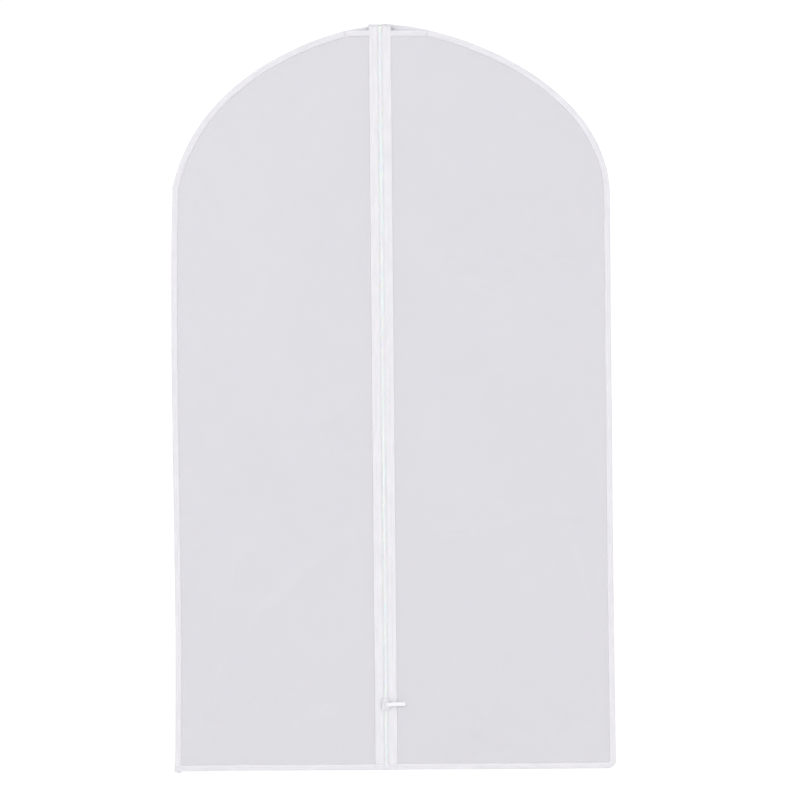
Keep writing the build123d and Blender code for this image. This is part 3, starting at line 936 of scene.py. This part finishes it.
def zip_coil(side_name):
    """One nylon coil along a tape's inner edge. Its turns mesh with the other coil's."""
    side = SIDES[side_name]
    bottom, top = TAPE_BOTTOM + COIL_ABOVE_BOTTOM, TAPE_TOP - COIL_BELOW_TOP
    turns = np.arange(int((top - bottom) / COIL_PITCH))
    offset = 0.0 if side < 0 else 0.5
    z = bottom + (turns[:, None] + COIL_TURN[None, :, 2] + offset) * COIL_PITCH
    x = zip_x(z) + side * COIL_TURN[None, :, 0] * MM
    y = np.broadcast_to(TAPE_BACK - 0.3 * MM - COIL_TURN[None, :, 1] * MM, z.shape)
    path = np.stack([x.ravel(), y.ravel(), z.ravel()], 1)
    piece = tube(f"zip_coil_{side_name}_nylon", path, COIL_THREAD, 5, COIL_LOOK)
    fold_with(piece, side_name)
    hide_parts(f"zip_coil_{side_name}", f"zip_coil_{side_name}_ends")


def zip_stitching(side_name):
    """The row of stitches that holds one tape to its film."""
    side = SIDES[side_name]
    heights = np.array([TAPE_BOTTOM + 4 * MM, NECK_TOP - 2 * MM])
    x = zip_x(heights) + side * ZIP_STITCH
    line = np.stack([x, np.full(2, TAPE_BACK - 0.5 * MM), heights], 1)
    line = resampled(line, 20 * MM)
    piece = stitches(f"zip_thread_{side_name}", [(line, (0, -1, 0))], ZIP_STITCH_PITCH, THREAD_LOOK)
    fold_with(piece, side_name)
    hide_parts(f"zip_stitching_{side_name}")
    return piece


def slider_and_tab():
    """The CAD slider and tab, with their edges eased and an enamel finish."""
    for name in ("zip_slider", "pull_tab"):
        node = frame["nodes"][name]
        node.data.materials.clear()
        node.data.materials.append(ENAMEL_LOOK)
        eased = node.modifiers.new("eased", "BEVEL")
        eased.width = 0.22 * MM
        eased.segments = 2
        eased.limit_method = "ANGLE"
        eased.angle_limit = math.radians(35)


# =================================================================================================
# Studio
# =================================================================================================
FRAME_WIDTH = 1.07  # metres across the picture, at the bag
FRAME_MIDDLE = (0.020, -0.5045)  # (x, z)
LENS = 100.0  # millimetres, as is the sensor
SENSOR = 36.0
FLOOR_DROP = 0.30  # below the hem
FLOOR_RADIUS = 1.4
ROOM = 0.69  # the glow of the surround, and of the bright wall behind the bag
WALL = 1.03
WALL_SPREAD = (0.72, 0.94)  # how squarely a direction faces the wall, where its glow starts and is full
LAMPS = [  # name, place, diameter, watts
    ("key", (-1.7, -3.3, 0.6), 2.6, 63),
    ("fill", (2.2, -2.9, -0.6), 2.6, 42),
    ("back", (-2.3, 2.3, 0.7), 1.0, 55),
]


def studio():
    """A pale floor, a bright wall behind the bag in a softly lit room, and three soft lamps."""
    world = bpy.data.worlds.new("surround")
    bpy.context.scene.world = world
    world.use_nodes = True
    tree = world.node_tree
    direction = tree.nodes.new("ShaderNodeTexCoord").outputs["Generated"]
    parts = tree.nodes.new("ShaderNodeSeparateXYZ")
    wall = tree.nodes.new("ShaderNodeMapRange")
    wall.interpolation_type = "SMOOTHSTEP"
    for socket, value in zip(("From Min", "From Max", "To Min", "To Max"), (*WALL_SPREAD, ROOM, WALL)):
        wall.inputs[socket].default_value = value
    tree.links.new(direction, parts.inputs[0])
    tree.links.new(parts.outputs["Y"], wall.inputs["Value"])
    tree.links.new(wall.outputs[0], tree.nodes["Background"].inputs["Strength"])
    tree.nodes["Background"].inputs["Color"].default_value = (1, 1, 1, 1)

    r = Recipe("pale_floor", 0.8, Specular_IOR_Level=0.1)
    r.shader.inputs["Base Color"].default_value = FLOOR_COLOUR
    z = cad_low.z - FLOOR_DROP
    turn = np.linspace(0, 2 * math.pi, 96, endpoint=False)
    disc = FLOOR_RADIUS * np.stack([np.cos(turn), np.sin(turn)], 1)
    floor = new_object("floor", in_height(disc, z), [range(len(disc))], r.material, disc)

    for name, place, size, power in LAMPS:
        lamp = bpy.data.lights.new(name, "AREA")
        lamp.shape = "DISK"
        lamp.size = size
        lamp.energy = power
        holder = bpy.data.objects.new(name, lamp)
        holder.location = place
        aim = Vector((FRAME_MIDDLE[0], 0, FRAME_MIDDLE[1])) - Vector(place)
        holder.rotation_mode = "QUATERNION"
        holder.rotation_quaternion = aim.to_track_quat("-Z", "Y")
        bpy.context.scene.collection.objects.link(holder)


def camera():
    """Square on to the front, as far off as the framing needs."""
    data = bpy.data.cameras.new("camera")
    data.lens = LENS
    data.sensor_width = SENSOR
    holder = bpy.data.objects.new("camera", data)
    distance = FRAME_WIDTH / 2 / (SENSOR / 2 / LENS)
    holder.location = (FRAME_MIDDLE[0], FRONT_DEPTH - distance, FRAME_MIDDLE[1])
    holder.rotation_euler = (math.pi / 2, 0, 0)
    data.clip_end = 100
    bpy.context.scene.collection.objects.link(holder)
    bpy.context.scene.camera = holder


# =================================================================================================
# The scene
# =================================================================================================
camera()
studio()
for side_name in SIDES:
    front_film(side_name)
    zip_tape(side_name)
    zip_coil(side_name)
back_film()

edge_pieces, edge_rows = edge_bindings()
for piece in edge_pieces:
    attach(piece, "bag")
    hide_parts("edge_binding")
neck_pieces, neck_rows = neck_bindings()
for piece in neck_pieces:
    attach(piece, "bag")
    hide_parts("neck_binding_back" if piece.name == "neck_tape_back" else "neck_binding_front")

for edge, rows in (("edge", edge_rows), ("neck", neck_rows)):
    piece = stitches(f"{edge}_thread", rows, STITCH_PITCH, THREAD_LOOK)
    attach(piece, "bag")
    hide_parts(f"{edge}_stitching")

zip_threads = [zip_stitching(side_name) for side_name in SIDES]
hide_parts("zip_stitching_ends")
slider_and_tab()

bpy.context.scene.view_settings.view_transform = "Standard"
